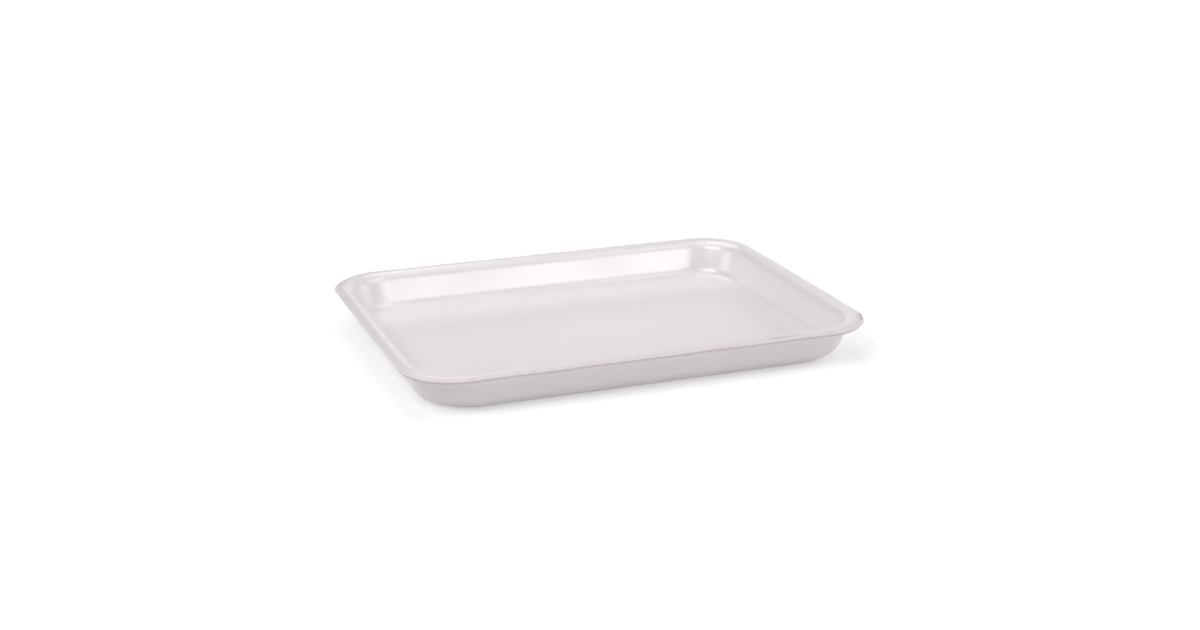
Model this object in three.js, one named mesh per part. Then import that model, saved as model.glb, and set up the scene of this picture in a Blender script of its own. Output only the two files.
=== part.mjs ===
// Foam meat tray: one thermoformed sheet of expanded polystyrene, in millimetres, +Z up.
// Origin: centre of the flat underside. The long side runs along X.
//
// A hot foam sheet is drawn over a mould, so its thickness is nearly the same everywhere. It is
// described here by one section: flat floor, round foot, leaning wall, rounded shoulder and flat
// rim, cut off at a slant by the trimming tool. The section runs once round a rounded rectangle.

import * as THREE from "three";

// Outline of the rim, at the nose's corner before it is rounded off
const rimLength = 222;
const rimWidth = 166;
const rimCornerRadius = 25.4;

// Heights and the foam sheet
const trayHeight = 20;
const sheetThickness = 2.7;

// Wall, as insets from the rim's outermost line
const rimOverhang = 5.6; // outer face of the wall where it meets the rim's underside
const footInset = 10.4; // outer face of the wall carried down to the table
const footCornerRadius = 22.6; // corner of the outline at the foot inset

// Bends of the section. The sheet is stretched thinner round the foot, so its two sides differ there
const footRadiusOutside = 10.5;
const footRadiusInside = 5.3;
const rimBendRadius = 2.4; // under the rim; the shoulder above follows at the sheet's thickness

// Trimmed edge of the rim: its nose stands out furthest, with a slant above and below
const noseDrop = 1.25;
const slantAbove = 1.9;
const slantBelow = 0.9;
const slantAboveRounding = 1.4;
const noseRounding = 0.3;

// Foam and facets
const foamColour = 0xeee8ed;
const foamRoughness = 0.55;
const degreesPerFacet = 12; // along a bend of the section
const facetsPerCorner = 12; // round a corner of the outline
const leastCorner = 0.2; // corner radius that the outline keeps, however far inwards
const bendShare = 0.49; // most of a section's side that one bend may take

// How far the wall moves inwards for each millimetre down
const wallLean = (footInset - rimOverhang) / (trayHeight - sheetThickness);

// Inset of the wall's outer face at a height above the table
function outerWallInset(height) {
  return footInset - wallLean * height;
}

// Inset of the wall's inner face, one sheet thickness away, at a height above the table
function innerWallInset(height) {
  return outerWallInset(height) + sheetThickness * Math.hypot(1, wallLean);
}

// Replaces the corners of an open outline with arcs. Each vertex is [inset, height, radius].
// A radius is held back where its two sides are too short for it.
function roundedOutline(vertices) {
  const points = vertices.map(([inset, height]) => new THREE.Vector2(inset, height));
  const last = vertices.length - 1;
  const outline = [points[0]];
  for (let i = 1; i < last; i++) {
    const before = points[i - 1].clone().sub(points[i]);
    const after = points[i + 1].clone().sub(points[i]);
    const room = bendShare * Math.min(before.length(), after.length());
    before.normalize();
    after.normalize();
    const halfAngle = Math.acos(THREE.MathUtils.clamp(before.dot(after), -1, 1)) / 2;
    const reach = Math.min(vertices[i][2] / Math.tan(halfAngle), room);
    const radius = reach * Math.tan(halfAngle);
    const centre = before.clone().add(after).setLength(radius / Math.sin(halfAngle)).add(points[i]);
    const start = before.clone().multiplyScalar(reach).add(points[i]).sub(centre);
    const turn = Math.PI - 2 * halfAngle;
    const side = Math.sign(start.cross(points[i].clone().sub(centre)));
    const facets = Math.max(1, Math.ceil(THREE.MathUtils.radToDeg(turn) / degreesPerFacet));
    for (let k = 0; k <= facets; k++) {
      const spoke = start.clone().rotateAround(new THREE.Vector2(), (side * turn * k) / facets);
      outline.push(spoke.add(centre));
    }
  }
  outline.push(points[last]);
  return outline;
}

// The sheet's section, from the flat floor over the rim and back to the flat underside.
// Both ends start in the middle of the tray and are cut back to where the foot's bends begin.
function traySection() {
  const middle = rimWidth / 2;
  const underRim = trayHeight - sheetThickness;
  const outline = roundedOutline([
    [middle, sheetThickness, 0],
    [innerWallInset(sheetThickness), sheetThickness, footRadiusInside],
    [innerWallInset(trayHeight), trayHeight, rimBendRadius + sheetThickness],
    [slantAbove, trayHeight, slantAboveRounding],
    [0, trayHeight - noseDrop, noseRounding],
    [slantBelow, underRim, noseRounding],
    [outerWallInset(underRim), underRim, rimBendRadius],
    [footInset, 0, footRadiusOutside],
    [middle, 0, 0],
  ]);
  return outline.slice(1, -1);
}

// Corner radius of the outline at an inset. It shrinks slowly inwards, as the mould's corners do.
function cornerRadius(inset) {
  const shrink = (rimCornerRadius - footCornerRadius) / footInset;
  const most = rimWidth / 2 - inset;
  return THREE.MathUtils.clamp(rimCornerRadius - shrink * inset, leastCorner, most);
}

// One closed line round the tray, anticlockwise from above, at an inset and a height
function ringPoints(inset, height) {
  const radius = cornerRadius(inset);
  const centreX = rimLength / 2 - inset - radius;
  const centreY = rimWidth / 2 - inset - radius;
  const corners = [[1, 1], [-1, 1], [-1, -1], [1, -1]];
  const points = [];
  corners.forEach(([sideX, sideY], corner) => {
    for (let k = 0; k <= facetsPerCorner; k++) {
      const angle = (corner + k / facetsPerCorner) * (Math.PI / 2);
      points.push([
        sideX * centreX + radius * Math.cos(angle),
        sideY * centreY + radius * Math.sin(angle),
        height,
      ]);
    }
  });
  return points;
}

// Skins the rings one after another, then closes the floor and the underside from their middles
function trayGeometry() {
  const rings = traySection().map((point) => ringPoints(point.x, point.y));
  const around = rings[0].length;
  const floorMiddle = rings.length * around;
  const baseMiddle = floorMiddle + 1;
  const positions = [...rings.flat(2), 0, 0, sheetThickness, 0, 0, 0];
  const faces = [];
  const at = (ring, k) => ring * around + (k % around);
  for (let ring = 0; ring + 1 < rings.length; ring++) {
    for (let k = 0; k < around; k++) {
      faces.push(at(ring, k), at(ring + 1, k), at(ring + 1, k + 1));
      faces.push(at(ring, k), at(ring + 1, k + 1), at(ring, k + 1));
    }
  }
  for (let k = 0; k < around; k++) {
    faces.push(floorMiddle, at(0, k), at(0, k + 1));
    faces.push(baseMiddle, at(rings.length - 1, k + 1), at(rings.length - 1, k));
  }
  const geometry = new THREE.BufferGeometry();
  geometry.setAttribute("position", new THREE.Float32BufferAttribute(positions, 3));
  geometry.setIndex(faces);
  geometry.computeVertexNormals();
  return geometry;
}

// Pale expanded polystyrene with the satin skin that the hot mould leaves
const foam = new THREE.MeshStandardMaterial({
  color: foamColour,
  roughness: foamRoughness,
  metalness: 0,
});

const tray = new THREE.Mesh(trayGeometry(), foam);
tray.name = "tray";

const meatTray = new THREE.Group();
meatTray.add(tray);

export default meatTray;
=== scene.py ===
# %% [markdown]
# # A foam meat tray
# The shallow pale tray that fresh food is sold in. A sheet of expanded polystyrene, a few
# millimetres thick, is heated, pressed over a mould and trimmed round its rim. The tray is one
# piece, so this lesson is about one good shape, one good material and the light that shows them.
#
# Everything is in metres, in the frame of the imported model: the table is z = 0, the long side runs
# along X, and the middle of the underside is the origin.

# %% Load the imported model
import math

import bpy
import numpy as np
from mathutils import Matrix, Vector


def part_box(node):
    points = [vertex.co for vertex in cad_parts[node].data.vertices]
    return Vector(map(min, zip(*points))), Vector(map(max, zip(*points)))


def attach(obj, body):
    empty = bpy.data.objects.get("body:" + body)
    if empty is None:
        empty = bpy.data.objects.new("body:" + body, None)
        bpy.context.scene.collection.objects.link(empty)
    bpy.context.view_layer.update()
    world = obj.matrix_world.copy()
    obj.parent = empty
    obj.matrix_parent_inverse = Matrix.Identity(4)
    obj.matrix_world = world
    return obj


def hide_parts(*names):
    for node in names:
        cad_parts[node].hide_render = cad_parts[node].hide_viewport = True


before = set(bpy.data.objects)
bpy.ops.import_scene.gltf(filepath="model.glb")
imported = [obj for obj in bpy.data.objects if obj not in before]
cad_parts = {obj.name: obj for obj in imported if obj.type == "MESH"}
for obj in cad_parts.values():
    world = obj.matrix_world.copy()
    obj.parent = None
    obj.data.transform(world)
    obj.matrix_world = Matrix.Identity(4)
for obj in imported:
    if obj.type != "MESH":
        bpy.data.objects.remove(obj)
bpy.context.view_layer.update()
MM = 0.001
tray_low, tray_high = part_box("tray")
print("tray in the frame, mm:", [round(v / MM, 2) for v in tray_high - tray_low])

# %% [markdown]
# ## The sizes
# These repeat the solid model's driving sizes, so the fine surface lies where the plain one does.
# The rim and the foot come from a camera fitted to the photograph. The sheet's thickness is what
# such trays are pressed from, and its bends are set by where their light and shade fall in the
# photograph. The height is read from the frame.

# %% Sizes of the sheet
RIM_LENGTH = 222 * MM
RIM_WIDTH = 166 * MM
TRAY_HEIGHT = tray_high.z
SHEET = 2.7 * MM
RIM_CORNER = 25.4 * MM       # corner radius of the rim's outline
FOOT_CORNER = 22.6 * MM      # corner radius where the wall meets the table
RIM_OVERHANG = 5.6 * MM      # from the rim's edge in to the wall's outer face
FOOT_INSET = 10.4 * MM       # from the rim's edge in to the foot of the wall
FOOT_OUTSIDE = 10.5 * MM     # bend at the foot, on the underside
FOOT_INSIDE = 5.3 * MM       # the same bend inside, where the stretched sheet is thinner
RIM_BEND = 2.4 * MM          # bend under the rim
NOSE_DROP = 1.25 * MM        # how far below the top the trimmed edge stands out furthest
SLANT_ABOVE = 1.9 * MM
SLANT_BELOW = 0.9 * MM
SLANT_ROUNDING = 1.4 * MM
NOSE_ROUNDING = 0.3 * MM
print("sheet", round(SHEET / MM, 2), "mm, height", round(TRAY_HEIGHT / MM, 2), "mm")

# %% [markdown]
# ## One function for nodes
# Shader trees and geometry trees are both made of nodes with inputs and settings. One small
# function covers them all: plain values are set on the inputs, sockets are linked to them. The
# inputs are given in order, or by name where a node has many.

# %% Node helper and colours
def add_node(tree, kind, *inputs, named=None, **settings):
    """Adds a node. An input is a value, a socket to link from, or None to leave it as it is."""
    node = tree.nodes.new(kind)
    for name, value in settings.items():
        setattr(node, name, value)
    pairs = list(zip(node.inputs, inputs))
    pairs += [(node.inputs[key], value) for key, value in (named or {}).items()]
    for socket, value in pairs:
        if isinstance(value, bpy.types.NodeSocket):
            tree.links.new(value, socket)
        elif value is not None:
            socket.default_value = value
    return node


def colour(hex_code):
    """An sRGB hex code as the linear colour that shader sockets hold."""
    channels = [int(hex_code[i:i + 2], 16) / 255 for i in (1, 3, 5)]
    linear = [c / 12.92 if c <= 0.04045 else ((c + 0.055) / 1.055) ** 2.4 for c in channels]
    return (*linear, 1.0)


# %% [markdown]
# ## Specks in the foam, and painted shade in its folds
# Where foam is knocked its cells break open and catch dirt as dark specks. Where the rim is creased,
# a thin grey line of painted shade runs along the bottom of the fold, in place of its shadow. Two
# attributes of the mesh say where, one for the specks and one for the painted shade, each from 0 to
# 1.
# Both of the tray's materials show them, so one function adds them to a colour.

# %% Specks and painted fold shade over a clean colour
SPECK = 1.1 * MM             # dirt in broken cells, in clumps of two or three cells
SPECK_COLOUR = colour("#6E646C")
SPECK_LEVELS = (0.52, 0.59)  # noise below the first is clean, above the second is dark
# painted shade: a grey that stands in for the shadow along the bottom of a fold
CREASE_SHADE_COLOUR = colour("#B3A9B1")


def with_specks_and_crease_shade(tree, place, clean):
    """The clean colour, with dirt specks where the sheet is scuffed and painted grey shade along a
    fold.
    """
    specks = add_node(tree, "ShaderNodeTexNoise", place, named={"Scale": 1 / SPECK, "Detail": 1.0})
    dark = add_node(
        tree, "ShaderNodeMapRange", specks.outputs["Fac"],
        named={"From Min": SPECK_LEVELS[0], "From Max": SPECK_LEVELS[1],
               "To Min": 0.0, "To Max": 1.0},
    )
    scuff = add_node(tree, "ShaderNodeAttribute", attribute_name="scuff")
    dirt = add_node(
        tree, "ShaderNodeMath", dark.outputs["Result"], scuff.outputs["Fac"], operation="MULTIPLY",
    )
    scuffed = add_node(
        tree, "ShaderNodeMix", data_type="RGBA",
        named={"Factor": dirt.outputs[0], 6: clean, 7: SPECK_COLOUR},
    )
    # painted shade: grey along each fold, read from the mesh, in place of the fold's shadow
    crease_shade = add_node(tree, "ShaderNodeAttribute", attribute_name="crease_shade")
    crease_shaded = add_node(
        tree, "ShaderNodeMix", data_type="RGBA",
        named={"Factor": crease_shade.outputs["Fac"], 6: scuffed.outputs[2], 7: CREASE_SHADE_COLOUR},
    )
    return crease_shaded.outputs[2]


# %% [markdown]
# ## Foam with its pressed skin
# Expanded polystyrene is a froth of closed cells, each about half a millimetre across. Where the hot
# mould touched it the cells have closed to a thin skin: pale, faintly lilac, with the cells still
# showing as a fine mottle. Two things tell it from white paint. The skin is satin, so a wall shows
# the light it faces as a broad soft shine that stops at each bend. And light goes a little way into
# the foam before it comes back, a little warmer, which subsurface scattering gives. The mottle is a
# Voronoi pattern at the cells' real size, and the unevenness of the shine is a slow noise.
#
# Beside the trimmed edge the skin in the photograph looks a little greyer. Part of that is the
# thinner, more open skin there and part is painted shade, in place of the rim rounding down towards
# its edge, so the tint reads how far each point lies from the rim's edge.

# %% Values of the foam
CELL = 0.5 * MM              # one foam cell, seen through the skin
SHEET_WAVE = 34 * MM         # slow unevenness that the oven leaves in the sheet
FOAM_IOR = 1.55              # solid polystyrene is 1.59; its foamed skin is taken a little lower
GLOW_DEPTH = 2.0 * MM        # how far light spreads inside the foam
GLOW_COLOUR = (1.0, 0.94, 0.94)   # share of that depth for red, green and blue
GLOW_WEIGHT = 0.35           # share of the light that goes into the foam
SKIN_PALE = colour("#F1ECEF")
SKIN_DEEP = colour("#ECE6EA")
SKIN_GREYED_AND_SHADED = colour("#E6E0E5")   # beside the trimmed edge: thinner skin, and painted shade of the rim rounding down there
GREYED_FROM, GREYED_TO = 4.5 * MM, 1.5 * MM     # inset where it starts, and where it is full
SKIN_ROUGHNESS = (0.28, 0.33)     # satin, a little uneven
WAVE_LEVELS = (0.3, 0.7)     # the slow noise stays mostly between these
SKIN_SHINE = 1.0             # 0.5 is plain plastic; the photograph's skin shines about twice as much
SLOW_RELIEF = 0.02 * MM
CELL_RELIEF = 0.03 * MM
SKIN_STRENGTH = 0.35         # share of that relief that still shows through the skin

# %% Pressed foam skin
skin = bpy.data.materials.new("expanded_polystyrene_skin")
skin.use_nodes = True
tree = skin.node_tree
tree.nodes.clear()
place = add_node(tree, "ShaderNodeTexCoord").outputs["Object"]
cells = add_node(tree, "ShaderNodeTexVoronoi", place, named={"Scale": 1 / CELL}, feature="F1")
wave = add_node(tree, "ShaderNodeTexNoise", place, named={"Scale": 1 / SHEET_WAVE, "Detail": 0.0})
mottle = add_node(
    tree, "ShaderNodeMix", data_type="RGBA",
    named={"Factor": cells.outputs["Distance"], 6: SKIN_PALE, 7: SKIN_DEEP},
)
inset_read = add_node(tree, "ShaderNodeAttribute", attribute_name="inset")
# partly painted shade: darker towards the rim's edge
greyed = add_node(
    tree, "ShaderNodeMapRange", inset_read.outputs["Fac"],
    named={"From Min": GREYED_TO, "From Max": GREYED_FROM, "To Min": 1.0, "To Max": 0.0},
)
clean = add_node(
    tree, "ShaderNodeMix", data_type="RGBA",
    named={"Factor": greyed.outputs["Result"], 6: mottle.outputs[2], 7: SKIN_GREYED_AND_SHADED},
)
tint = with_specks_and_crease_shade(tree, place, clean.outputs[2])
gloss = add_node(
    tree, "ShaderNodeMapRange", wave.outputs["Fac"],
    named={"From Min": WAVE_LEVELS[0], "From Max": WAVE_LEVELS[1],
           "To Min": SKIN_ROUGHNESS[0], "To Max": SKIN_ROUGHNESS[1]},
)
slow_bump = add_node(
    tree, "ShaderNodeBump", named={"Distance": SLOW_RELIEF, "Height": wave.outputs["Fac"]},
)
fine_bump = add_node(
    tree, "ShaderNodeBump",
    named={"Strength": SKIN_STRENGTH, "Distance": CELL_RELIEF, "Height": cells.outputs["Distance"],
           "Normal": slow_bump.outputs["Normal"]},
)
shader = add_node(
    tree, "ShaderNodeBsdfPrincipled",
    named={
        "Base Color": tint, "Roughness": gloss.outputs["Result"], "IOR": FOAM_IOR,
        "Specular IOR Level": SKIN_SHINE,
        "Normal": fine_bump.outputs["Normal"], "Subsurface Weight": GLOW_WEIGHT,
        "Subsurface Radius": GLOW_COLOUR, "Subsurface Scale": GLOW_DEPTH,
    },
)
add_node(tree, "ShaderNodeOutputMaterial", shader.outputs["BSDF"])
print("skin: cells", round(CELL / MM, 2), "mm, waves", round(SHEET_WAVE / MM), "mm")

# %% [markdown]
# ## The cut edge
# Round the rim the trimming tool has sheared the foam, and there is no skin. The cut cells lie open,
# so the edge is rough and matte and looks a shade darker than the skin beside it. It is its own
# material, with the same cells at a stronger relief.

# %% Sheared foam edge
CUT_PALE = colour("#E6DFE4")
CUT_DEEP = colour("#DAD1D8")
CUT_ROUGHNESS = 0.75
CUT_RELIEF = 0.1 * MM
CUT_STRENGTH = 0.6

edge = bpy.data.materials.new("expanded_polystyrene_cut_edge")
edge.use_nodes = True
tree = edge.node_tree
tree.nodes.clear()
place = add_node(tree, "ShaderNodeTexCoord").outputs["Object"]
cells = add_node(tree, "ShaderNodeTexVoronoi", place, named={"Scale": 1 / CELL}, feature="F1")
clean = add_node(
    tree, "ShaderNodeMix", data_type="RGBA",
    named={"Factor": cells.outputs["Distance"], 6: CUT_PALE, 7: CUT_DEEP},
)
tint = with_specks_and_crease_shade(tree, place, clean.outputs[2])
bump = add_node(
    tree, "ShaderNodeBump",
    named={"Strength": CUT_STRENGTH, "Distance": CUT_RELIEF, "Height": cells.outputs["Distance"]},
)
shader = add_node(
    tree, "ShaderNodeBsdfPrincipled",
    named={
        "Base Color": tint, "Roughness": CUT_ROUGHNESS, "IOR": FOAM_IOR,
        "Normal": bump.outputs["Normal"], "Subsurface Weight": GLOW_WEIGHT,
        "Subsurface Radius": GLOW_COLOUR, "Subsurface Scale": GLOW_DEPTH,
    },
)
add_node(tree, "ShaderNodeOutputMaterial", shader.outputs["BSDF"])
print("cut edge: relief", round(CUT_RELIEF / MM, 2), "mm")

# %% [markdown]
# ## The tray's shape
# A pressed tray follows one rule: the same section all the way round a rounded rectangle. That is
# what Geometry Nodes are good at. The tree has two halves.
#
# The first draws the section: nine corner points, worked out from the sizes, joined to a line whose
# corners are then filleted, each by its own radius. The second half makes a grid, one row for each
# point of the section and one column for each step round the rim, and puts every grid point where
# its row and column say. A plain sweep along the rim would shrink the corner radius by the full
# inset; a mould's corners stay almost as round at the foot, so the radius has a rule of its own.

# %% Named inputs of the tree
tree = bpy.data.node_groups.new("pressed_tray", "GeometryNodeTree")
tree.is_modifier = True
tree.interface.new_socket("Geometry", in_out="INPUT", socket_type="NodeSocketGeometry")
tree.interface.new_socket("Geometry", in_out="OUTPUT", socket_type="NodeSocketGeometry")
SIZES = {
    "Rim Length": RIM_LENGTH, "Rim Width": RIM_WIDTH, "Height": TRAY_HEIGHT, "Sheet": SHEET,
    "Rim Corner": RIM_CORNER, "Foot Corner": FOOT_CORNER, "Rim Overhang": RIM_OVERHANG,
    "Foot Inset": FOOT_INSET, "Foot Outside": FOOT_OUTSIDE, "Foot Inside": FOOT_INSIDE,
    "Rim Bend": RIM_BEND, "Nose Drop": NOSE_DROP, "Slant Above": SLANT_ABOVE,
    "Slant Below": SLANT_BELOW, "Slant Rounding": SLANT_ROUNDING, "Nose Rounding": NOSE_ROUNDING,
    "Finest Step": 0.5 * MM, "Step Share": 0.05,
}
COUNTS = {"Bend Steps": 8, "Corner Steps": 48, "Side Steps": 90}     # in one bend, corner and side
for name in SIZES:
    tree.interface.new_socket(name, in_out="INPUT", socket_type="NodeSocketFloat")
for name in COUNTS:
    tree.interface.new_socket(name, in_out="INPUT", socket_type="NodeSocketInt")
sizes_in = add_node(tree, "NodeGroupInput").outputs
known = {name: sizes_in[name] for name in (*SIZES, *COUNTS)}
known["index"] = add_node(tree, "GeometryNodeInputIndex").outputs[0]
print("inputs of the tree:", len(SIZES) + len(COUNTS))

# %% [markdown]
# ### Sums as rows of a list
# A tree like this needs many small sums. Each is written as one row: its name, what it does, and
# what it takes. A word names an input of the tree or an earlier sum, and a number stands for
# itself. A loop turns the rows into Math nodes, in order.

# %% Sums for the section's corner points
SECTION_SUMS = [
    ("under rim", "SUBTRACT", "Height", "Sheet"),
    ("wall run", "SUBTRACT", "Foot Inset", "Rim Overhang"),
    ("lean", "DIVIDE", "wall run", "under rim"),
    ("slope squared", "MULTIPLY_ADD", "lean", "lean", 1.0),
    ("slope", "SQRT", "slope squared"),
    ("inner base", "MULTIPLY_ADD", "Sheet", "slope", "Foot Inset"),
    ("moved at floor", "MULTIPLY", "lean", "Sheet"),
    ("inner foot", "SUBTRACT", "inner base", "moved at floor"),
    ("moved at rim", "MULTIPLY", "lean", "Height"),
    ("shoulder", "SUBTRACT", "inner base", "moved at rim"),
    ("shoulder radius", "ADD", "Rim Bend", "Sheet"),
    ("nose height", "SUBTRACT", "Height", "Nose Drop"),
    ("middle", "MULTIPLY", "Rim Width", 0.5),
    ("next index", "ADD", "index", 1),
]
for name, operation, *terms in SECTION_SUMS:
    terms = [known.get(term, term) for term in terms]
    known[name] = add_node(tree, "ShaderNodeMath", *terms, operation=operation).outputs[0]

# %% [markdown]
# ### The section's corners
# Each row is one corner point: how far it lies in from the rim's edge, how high, and the radius of
# its bend. They run from the middle of the floor over the rim and back to the middle of the
# underside. None stands for zero. The index of a point picks its row.

# %% Corner points of the section
CORNERS = [
    ("middle", "Sheet", None),
    ("inner foot", "Sheet", "Foot Inside"),
    ("shoulder", "Height", "shoulder radius"),
    ("Slant Above", "Height", "Slant Rounding"),
    (None, "nose height", "Nose Rounding"),
    ("Slant Below", "under rim", "Nose Rounding"),
    ("Rim Overhang", "under rim", "Rim Bend"),
    ("Foot Inset", None, "Foot Outside"),
    ("middle", None, None),
]
place_switch = add_node(tree, "GeometryNodeIndexSwitch", data_type="VECTOR")
radius_switch = add_node(tree, "GeometryNodeIndexSwitch", data_type="FLOAT")
for switch in (place_switch, radius_switch):
    while len(switch.index_switch_items) < len(CORNERS):
        switch.index_switch_items.new()
    tree.links.new(known["index"], switch.inputs["Index"])
for i, (inset, height, radius) in enumerate(CORNERS):
    point = add_node(tree, "ShaderNodeCombineXYZ", known.get(inset), 0.0, known.get(height))
    tree.links.new(point.outputs[0], place_switch.inputs[i + 1])
    if radius:
        tree.links.new(known[radius], radius_switch.inputs[i + 1])
print("section corners:", len(CORNERS))

# %% [markdown]
# A plain line with as many points as there are corners is moved onto them. As a curve it can then be
# filleted, with the radius of each corner read from the second switch.

# %% The section: a line through the corners, filleted
line = add_node(tree, "GeometryNodeMeshLine", named={"Count": len(CORNERS)})
cornered = add_node(
    tree, "GeometryNodeSetPosition", line.outputs[0], named={"Position": place_switch.outputs[0]},
)
path = add_node(tree, "GeometryNodeMeshToCurve", cornered.outputs[0])
fillet = add_node(
    tree, "GeometryNodeFilletCurve", path.outputs[0], mode="POLY",
    named={"Count": known["Bend Steps"], "Radius": radius_switch.outputs[0], "Limit Radius": True},
)

# %% [markdown]
# The long stretches between the bends get points of their own, so that the finished sheet can be
# dented anywhere. They lie close together at the rim and further apart towards the middle.

# %% Extra points on the long stretches
here = add_node(tree, "GeometryNodeInputPosition").outputs[0]
there = add_node(
    tree, "GeometryNodeFieldAtIndex", here, known["next index"], data_type="FLOAT_VECTOR",
).outputs[0]
known["gap"] = add_node(
    tree, "ShaderNodeVectorMath", here, there, operation="DISTANCE",
).outputs["Value"]
known["inset here"] = add_node(tree, "ShaderNodeSeparateXYZ", here).outputs["X"]
known["inset there"] = add_node(tree, "ShaderNodeSeparateXYZ", there).outputs["X"]
for name, operation, *terms in [
    ("deeper", "MAXIMUM", "inset here", "inset there"),
    ("wished step", "MULTIPLY", "deeper", "Step Share"),
    ("step length", "MAXIMUM", "wished step", "Finest Step"),
    ("steps", "DIVIDE", "gap", "step length"),
    ("cuts", "FLOOR", "steps"),
]:
    terms = [known.get(term, term) for term in terms]
    known[name] = add_node(tree, "ShaderNodeMath", *terms, operation=operation).outputs[0]
section = add_node(
    tree, "GeometryNodeSubdivideCurve", fillet.outputs[0], named={"Cuts": known["cuts"]},
).outputs[0]

# %% [markdown]
# ### Round the rim
# Each step round the rim belongs to one of four quarters. In a quarter the step first turns through
# the corner and then walks along the side. So every column has a direction to face and a seat on
# the square that joins the corners' centres, and the row adds its inset, its height and its radius.

# %% Sums for the rows and columns
QUARTER_TURN = math.pi / 2
DIAGONAL = math.sqrt(2)      # brings a corner at 45 degrees to one whole step along X and Y
known["rows"] = add_node(
    tree, "GeometryNodeAttributeDomainSize", section, component="CURVE",
).outputs["Point Count"]
COLUMN_SUMS = [
    ("quarter steps", "ADD", "Corner Steps", "Side Steps"),
    ("columns", "MULTIPLY_ADD", "quarter steps", 4, 1),
    ("rows passed", "DIVIDE", "index", "columns"),
    ("row", "FLOOR", "rows passed"),
    ("column", "FLOORED_MODULO", "index", "columns"),
    ("quarters passed", "DIVIDE", "column", "quarter steps"),
    ("quarter", "FLOOR", "quarters passed"),
    ("step", "FLOORED_MODULO", "column", "quarter steps"),
    ("turn share", "DIVIDE", "step", "Corner Steps"),
    ("turned", "MINIMUM", "turn share", 1.0),
    ("past corner", "SUBTRACT", "step", "Corner Steps"),
    ("walk share", "DIVIDE", "past corner", "Side Steps"),
    ("walked", "MAXIMUM", "walk share", 0.0),
    ("quarters faced", "ADD", "quarter", "turned"),
    ("facing", "MULTIPLY", "quarters faced", QUARTER_TURN),
    ("quarters seated", "ADD", "quarter", 0.5),
    ("corner angle", "MULTIPLY", "quarters seated", QUARTER_TURN),
    ("next angle", "ADD", "corner angle", QUARTER_TURN),
]
for axis, wave_of in (("x", "COSINE"), ("y", "SINE")):
    COLUMN_SUMS += [
        (f"facing {axis}", wave_of, "facing"),
        (f"corner {axis}", wave_of, "corner angle"),
        (f"next {axis}", wave_of, "next angle"),
        (f"side {axis}", "SUBTRACT", f"next {axis}", f"corner {axis}"),
        (f"walk {axis}", "MULTIPLY_ADD", f"side {axis}", "walked", f"corner {axis}"),
        (f"seat {axis}", "MULTIPLY", f"walk {axis}", DIAGONAL),
    ]
for name, operation, *terms in COLUMN_SUMS:
    terms = [known.get(term, term) for term in terms]
    known[name] = add_node(tree, "ShaderNodeMath", *terms, operation=operation).outputs[0]
grid = add_node(
    tree, "GeometryNodeMeshGrid", named={"Vertices X": known["rows"], "Vertices Y": known["columns"]},
)

# %% [markdown]
# A grid point's row picks a point of the section, which gives its inset and its height. The corner
# radius follows from the inset, and the column says which way to go.

# %% Sums for each point's place
sampled = add_node(
    tree, "GeometryNodeSampleIndex", section, here, known["row"],
    data_type="FLOAT_VECTOR", domain="POINT",
)
profile = add_node(tree, "ShaderNodeSeparateXYZ", sampled.outputs[0]).outputs
known["inset"] = profile["X"]
PLACE_SUMS = [
    ("corner change", "SUBTRACT", "Foot Corner", "Rim Corner"),
    ("corner rule", "DIVIDE", "corner change", "Foot Inset"),
    ("ruled corner", "MULTIPLY_ADD", "corner rule", "inset", "Rim Corner"),
    ("corner room", "SUBTRACT", "middle", "inset"),
    ("corner", "MINIMUM", "ruled corner", "corner room"),
    ("taken", "ADD", "corner", "inset"),
]
for axis, side in (("x", "Rim Length"), ("y", "Rim Width")):
    PLACE_SUMS += [
        (f"half {axis}", "MULTIPLY", side, 0.5),
        (f"centre {axis}", "SUBTRACT", f"half {axis}", "taken"),
        (f"spoke {axis}", "MULTIPLY", f"facing {axis}", "corner"),
        (f"place {axis}", "MULTIPLY_ADD", f"seat {axis}", f"centre {axis}", f"spoke {axis}"),
    ]
for name, operation, *terms in PLACE_SUMS:
    terms = [known.get(term, term) for term in terms]
    known[name] = add_node(tree, "ShaderNodeMath", *terms, operation=operation).outputs[0]
position = add_node(tree, "ShaderNodeCombineXYZ", known["place x"], known["place y"], profile["Z"])

# %% [markdown]
# The first and the last column lie on each other, and the innermost rows fold up to a line in the
# middle of the floor and of the underside. So a merge closes the grid to one skin. Each point keeps
# its inset as an attribute: it tells the cut edge from the pressed skin, and the marks below read
# it too.

# %% Close the grid, keep each point's inset, and give the sheet its two finishes
CUT_SHARE = 0.8              # how much of the slant above the nose was sheared
WELD = 0.001 * MM            # points nearer than this are one point
placed = add_node(
    tree, "GeometryNodeSetPosition", grid.outputs[0], named={"Position": position.outputs[0]},
)
measured = add_node(
    tree, "GeometryNodeStoreNamedAttribute", placed.outputs[0], data_type="FLOAT", domain="POINT",
    named={"Name": "inset", "Value": known["inset"]},
)
closed = add_node(
    tree, "GeometryNodeMergeByDistance", measured.outputs[0], named={"Distance": WELD},
)
smooth = add_node(tree, "GeometryNodeSetShadeSmooth", closed.outputs[0])
inset_read = add_node(tree, "GeometryNodeInputNamedAttribute", "inset", data_type="FLOAT")
cut_reach = add_node(tree, "ShaderNodeMath", known["Slant Above"], CUT_SHARE, operation="MULTIPLY")
is_cut = add_node(
    tree, "ShaderNodeMath", inset_read.outputs[0], cut_reach.outputs[0], operation="LESS_THAN",
)
with_skin = add_node(tree, "GeometryNodeSetMaterial", smooth.outputs[0], named={"Material": skin})
finished = add_node(tree, "GeometryNodeSetMaterial", with_skin.outputs[0], is_cut.outputs[0], edge)
add_node(tree, "NodeGroupOutput", finished.outputs[0])
print("nodes in the tree:", len(tree.nodes))

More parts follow.
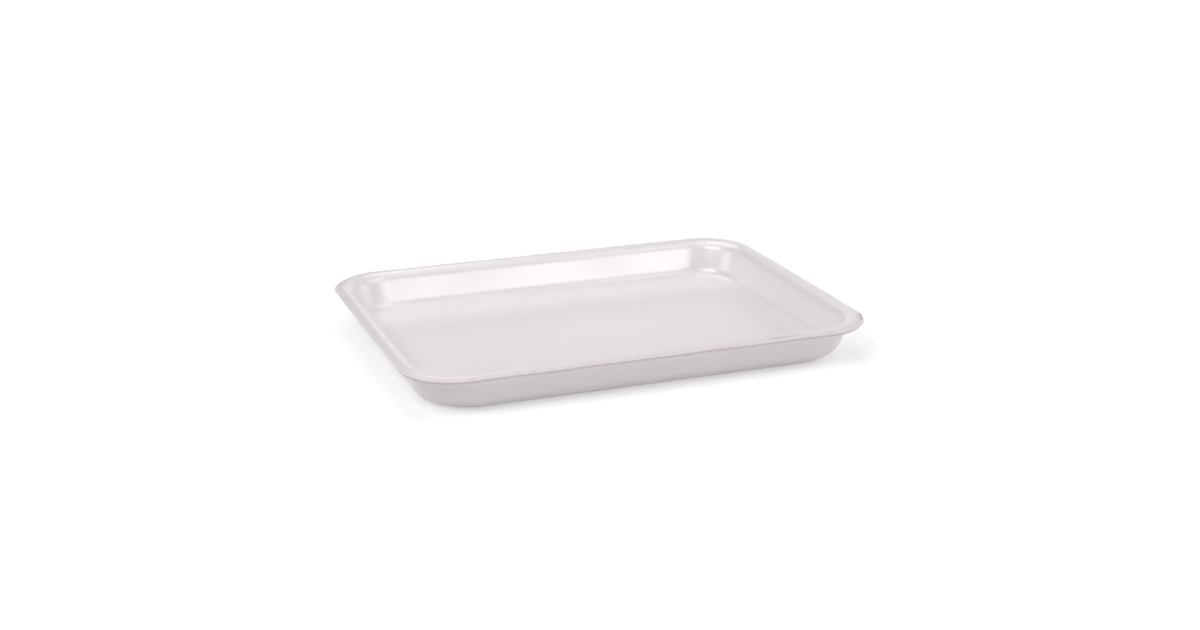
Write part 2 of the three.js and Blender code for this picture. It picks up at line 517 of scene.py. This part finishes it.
# %% [markdown]
# ### Run the tree
# The tree runs once, as a modifier on an object with an empty mesh, with the sizes above on its
# inputs. Its result is kept as a plain mesh, because the marks below move single points of it.

# %% Run the tree and keep the result as a plain mesh
seed = bpy.data.objects.new("seed", bpy.data.meshes.new("seed"))
bpy.context.collection.objects.link(seed)
modifier = seed.modifiers.new("pressed_tray", "NODES")
modifier.node_group = tree
for item in tree.interface.items_tree:
    value = {**SIZES, **COUNTS}.get(item.name)
    if value is not None:
        modifier[item.identifier] = value
bpy.context.view_layer.update()
evaluated = seed.evaluated_get(bpy.context.evaluated_depsgraph_get())
tray_mesh = bpy.data.meshes.new_from_object(evaluated)
tray_mesh.name = "foam_tray"
bpy.data.objects.remove(seed)
tray = bpy.data.objects.new("foam_tray", tray_mesh)
bpy.context.collection.objects.link(tray)
places = np.empty(len(tray_mesh.vertices) * 3)
tray_mesh.vertices.foreach_get("co", places)
places = places.reshape(-1, 3)
insets = np.empty(len(places))
tray_mesh.attributes["inset"].data.foreach_get("value", insets)
print("tray mesh:", len(places), "points,", len(tray_mesh.polygons), "faces, mm",
      np.round(places.min(0) / MM, 2), np.round(places.max(0) / MM, 2))

# %% [markdown]
# ## Handling marks
# Foam this thin shows every knock. The rim of this tray isn't quite straight, something has creased
# the front rim to the right of the middle, and the front right corner has lost a crumb of its edge.
# These are moves of the mesh's points, and they only go down or inwards, so that the tray stays in
# its box. Each mark fades out along the rim and across it. A fourth power in the fade keeps a mark
# even over most of its length.

# %% Marks on the rim
RIM_SAG = 0.3 * MM           # most that the rim droops
RIM_REACH = 9 * MM           # from the edge to where the rim meets the stiff wall
MEAN_DROOP = 0.5             # share of the sag that the rim has on average
WAVES = ((47 * MM, 1, 0.3, 0.0), (31 * MM, -1, 0.2, 1.0))    # length, direction, share, start
CREASE_MIDDLE = 61.5 * MM    # along the front rim, from the tray's middle
CREASE_HALF = 6.0 * MM       # half its length
CREASES = (                  # shift along the rim, inset, width, depth
    (-1.5 * MM, 2.4 * MM, 0.8 * MM, 1.1 * MM),
    (3.0 * MM, 5.8 * MM, 0.8 * MM, 0.9 * MM),
)
CREASE_SHADE_HALF_WIDTH = 0.6 * MM         # half the width of the painted shade line along the bottom of a fold
CHIP_ANGLE = math.radians(24)     # round the front right corner, from the right
CHIP_HALF = 4.5 * MM         # half its length along the edge
CHIP_DEPTH = 1.0 * MM        # most that is gone
CHIP_REACH = 2.2 * MM        # how far the broken edge goes in from the rim's outline
SCUFF_REACH = 5 * MM         # how far the scuffed skin goes in
CRUMB = 2.4 * MM             # length of one tooth of the broken edge
TOOTH_SHARE = 0.3            # how far the teeth change the depth of the broken edge

x, y, z = places.T
rim_share = np.clip(1 - insets / RIM_REACH, 0, 1) ** 2
droop = MEAN_DROOP + sum(
    share * np.sin(2 * math.pi * (x + direction * y) / length + start)
    for length, direction, share, start in WAVES
)
z -= RIM_SAG * rim_share * droop

on_front_top = (y < RIM_REACH - RIM_WIDTH / 2) & (z > TRAY_HEIGHT - NOSE_DROP - RIM_SAG)
# painted shade: where the grey line that stands in for each fold's shadow goes
crease_shade_mask = np.zeros(len(places))
for shift, crease_inset, width, depth in CREASES:
    along = np.exp(-((x - CREASE_MIDDLE - shift) / CREASE_HALF) ** 4) * on_front_top
    z -= depth * along * np.exp(-((insets - crease_inset) / width) ** 2)
    crease_shade_mask += along * np.exp(-((insets - crease_inset) / CREASE_SHADE_HALF_WIDTH) ** 2)
tray_mesh.attributes.new("crease_shade", "FLOAT", "POINT").data.foreach_set("value", crease_shade_mask)

corner_x = RIM_LENGTH / 2 - RIM_CORNER
corner_y = RIM_CORNER - RIM_WIDTH / 2
angle = np.arctan2(corner_y - y, x - corner_x)
round_corner = (angle - CHIP_ANGLE) * RIM_CORNER
knocked = np.exp(-(round_corner / CHIP_HALF) ** 4) * (x > corner_x) * (y < corner_y)
scuffs = knocked * np.clip(1 - insets / SCUFF_REACH, 0, 1)
tray_mesh.attributes.new("scuff", "FLOAT", "POINT").data.foreach_set("value", scuffs)
bite = knocked * np.clip(1 - insets / CHIP_REACH, 0, 1)
bite *= 1 - TOOTH_SHARE + TOOTH_SHARE * np.sin(2 * math.pi * round_corner / CRUMB)
x -= CHIP_DEPTH * bite * np.cos(angle)
y += CHIP_DEPTH * bite * np.sin(angle)
tray_mesh.vertices.foreach_set("co", places.ravel())
tray_mesh.update()
print("marks: rim droops up to", round(RIM_SAG / MM, 2), "mm, crumb", round(CHIP_DEPTH / MM, 2), "mm")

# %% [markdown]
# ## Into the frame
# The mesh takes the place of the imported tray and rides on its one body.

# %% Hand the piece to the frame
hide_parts("tray")
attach(tray, "root")

# %% [markdown]
# ## Floor
# The photograph shows the tray cut out on white. A plain pale floor stands in, with the tray's own
# soft shadow kept. It is lifted towards white where the camera or a reflection sees it. The soft
# light that it throws back on the tray stays that of a pale table.

# %% Floor
FLOOR_SIZE = 8.0             # metres
FLOOR_GAP = 0.05 * MM        # keeps the floor's face just clear of the tray's underside
PAPER = colour("#D8D8D8")
PAPER_ROUGHNESS = 0.9
PAPER_LIFT = 0.45            # near the tray, where its shadow has to show
LIFT_FROM, LIFT_TO = 0.35, 1.4         # metres from the tray, where it starts to grow and is full
floor_mesh = bpy.data.meshes.new("floor")
half = FLOOR_SIZE / 2
floor_corners = [(-half, -half, -FLOOR_GAP), (half, -half, -FLOOR_GAP),
                 (half, half, -FLOOR_GAP), (-half, half, -FLOOR_GAP)]
floor_mesh.from_pydata(floor_corners, [], [(0, 1, 2, 3)])
floor = bpy.data.objects.new("floor", floor_mesh)
bpy.context.collection.objects.link(floor)
paper = bpy.data.materials.new("studio_paper")
paper.use_nodes = True
tree = paper.node_tree
tree.nodes.clear()
rays = add_node(tree, "ShaderNodeLightPath").outputs
seen = add_node(
    tree, "ShaderNodeMath", rays["Is Camera Ray"], rays["Is Glossy Ray"], operation="MAXIMUM",
)
place = add_node(tree, "ShaderNodeTexCoord").outputs["Object"]
distance = add_node(tree, "ShaderNodeVectorMath", place, operation="LENGTH").outputs["Value"]
growing = add_node(
    tree, "ShaderNodeMapRange", distance,
    named={"From Min": LIFT_FROM, "From Max": LIFT_TO, "To Min": PAPER_LIFT, "To Max": 1.0},
)
lift = add_node(tree, "ShaderNodeMath", seen.outputs[0], growing.outputs[0], operation="MULTIPLY")
shader = add_node(
    tree, "ShaderNodeBsdfPrincipled",
    named={"Base Color": PAPER, "Roughness": PAPER_ROUGHNESS, "Specular IOR Level": 0.0,
           "Emission Color": (1, 1, 1, 1), "Emission Strength": lift.outputs[0]},
)
add_node(tree, "ShaderNodeOutputMaterial", shader.outputs["BSDF"])
floor_mesh.materials.append(paper)
print("floor", FLOOR_SIZE, "m")

# %% [markdown]
# ## Light
# Eight soft boxes stand round the tray. Nearly half of the power is in two high ones, left and right
# of the front. The one that matters most to the look is low in front, a little to the right: the
# back wall faces it and shines along its whole length, while the bends above and below the wall
# turn their shine up to the dark ceiling and stay darker, as two soft lines. The boxes at the sides
# and behind light the tray for the other views. The powers were matched to the photograph.
# The world adds a little grey, and is white for the camera.

# %% World
AMBIENT = 0.04               # faint grey light from all round
world = bpy.data.worlds.new("studio")
bpy.context.scene.world = world
world.use_nodes = True
tree = world.node_tree
tree.nodes.clear()
rays = add_node(tree, "ShaderNodeLightPath").outputs
seen = add_node(
    tree, "ShaderNodeMath", rays["Is Camera Ray"], rays["Is Transmission Ray"], operation="MAXIMUM",
)
strength = add_node(
    tree, "ShaderNodeMapRange", seen.outputs[0],
    named={"From Min": 0.0, "From Max": 1.0, "To Min": AMBIENT, "To Max": 1.0},
)
background = add_node(tree, "ShaderNodeBackground", (1, 1, 1, 1), strength.outputs["Result"])
add_node(tree, "ShaderNodeOutputWorld", background.outputs[0])
print("ambient", AMBIENT)


# %% Softboxes
def from_tray(azimuth, elevation):
    """Direction from the tray. Azimuth 0 is in front, positive to the right, in degrees."""
    a, e = math.radians(azimuth), math.radians(elevation)
    return Vector((math.sin(a) * math.cos(e), -math.cos(a) * math.cos(e), math.sin(e)))


def softbox(name, azimuth, elevation, distance, width, height, power):
    """Adds a rectangular lamp that faces the tray, in metres and watts."""
    towards = from_tray(azimuth, elevation)
    data = bpy.data.lights.new(name, "AREA")
    data.shape = "RECTANGLE"
    data.size = width
    data.size_y = height
    data.energy = power
    lamp = bpy.data.objects.new(name, data)
    lamp.location = towards * distance
    lamp.rotation_mode = "QUATERNION"
    lamp.rotation_quaternion = towards.to_track_quat("Z", "Y")
    bpy.context.collection.objects.link(lamp)


# %% The eight boxes: name, azimuth, elevation, width, height, power
BOX_DISTANCE = 1.6           # metres; the sizes below too, angles in degrees, power in watts
BOXES = (
    ("high_left", -60, 45, 0.9, 0.8, 12.4),
    ("high_right", 60, 45, 0.9, 0.8, 6.4),
    ("low_front", 24, 14, 1.05, 0.28, 6.0),
    ("high_behind", 180, 57, 0.9, 0.9, 6.2),
    ("low_left", -97, 14, 0.9, 0.4, 3.6),
    ("low_right", 100, 14, 0.9, 0.4, 2.8),
    ("low_behind", 155, 14, 0.9, 0.4, 1.4),
    ("above", 0, 88, 0.9, 0.9, 2.8),
)
for name, azimuth, elevation, width, height, power in BOXES:
    softbox(name, azimuth, elevation, BOX_DISTANCE, width, height, power)
print("soft boxes:", len(BOXES), "with", round(sum(box[-1] for box in BOXES), 1), "watts")

# %% [markdown]
# ## Camera
# Low, in front and to the left, with a lens of 52 mm on a 36 mm wide sensor. The angle, the
# distance and the lens come from fitting the rim's outline in the photograph. The camera turns a
# little past the tray, so that the tray sits where the photograph has it and no shift is needed.

# %% Camera
PHOTO_WIDTH, PHOTO_HEIGHT = 1200, 630
CAMERA_AZIMUTH, CAMERA_ELEVATION = -20.79, 17.78     # degrees
CAMERA_DISTANCE = 825.2 * MM           # from the middle of the rim
FOCAL_PIXELS = 1733.4
RIM_MIDDLE_PIXEL = (592.6, 298.9)      # where the middle of the rim lies in the photograph
SENSOR_WIDTH = 36.0                    # millimetres, as the lens
CLIP_START = 0.05                      # metres
back = from_tray(CAMERA_AZIMUTH, CAMERA_ELEVATION)
camera_data = bpy.data.cameras.new("camera")
camera_data.sensor_width = SENSOR_WIDTH
camera_data.lens = SENSOR_WIDTH * FOCAL_PIXELS / PHOTO_WIDTH
camera_data.clip_start = CLIP_START
camera = bpy.data.objects.new("camera", camera_data)
bpy.context.collection.objects.link(camera)
turn_y = math.atan((RIM_MIDDLE_PIXEL[0] - PHOTO_WIDTH / 2) / FOCAL_PIXELS)
turn_x = math.atan((RIM_MIDDLE_PIXEL[1] - PHOTO_HEIGHT / 2) / FOCAL_PIXELS)
aim = back.to_track_quat("Z", "Y").to_matrix()
aim = aim @ Matrix.Rotation(turn_y, 3, "Y") @ Matrix.Rotation(turn_x, 3, "X")
rim_middle = Vector((0, 0, TRAY_HEIGHT))
camera.matrix_world = Matrix.Translation(rim_middle + back * CAMERA_DISTANCE) @ aim.to_4x4()
bpy.context.scene.camera = camera
bpy.context.scene.view_settings.view_transform = "Standard"
print("lens", round(camera_data.lens, 1), "mm")
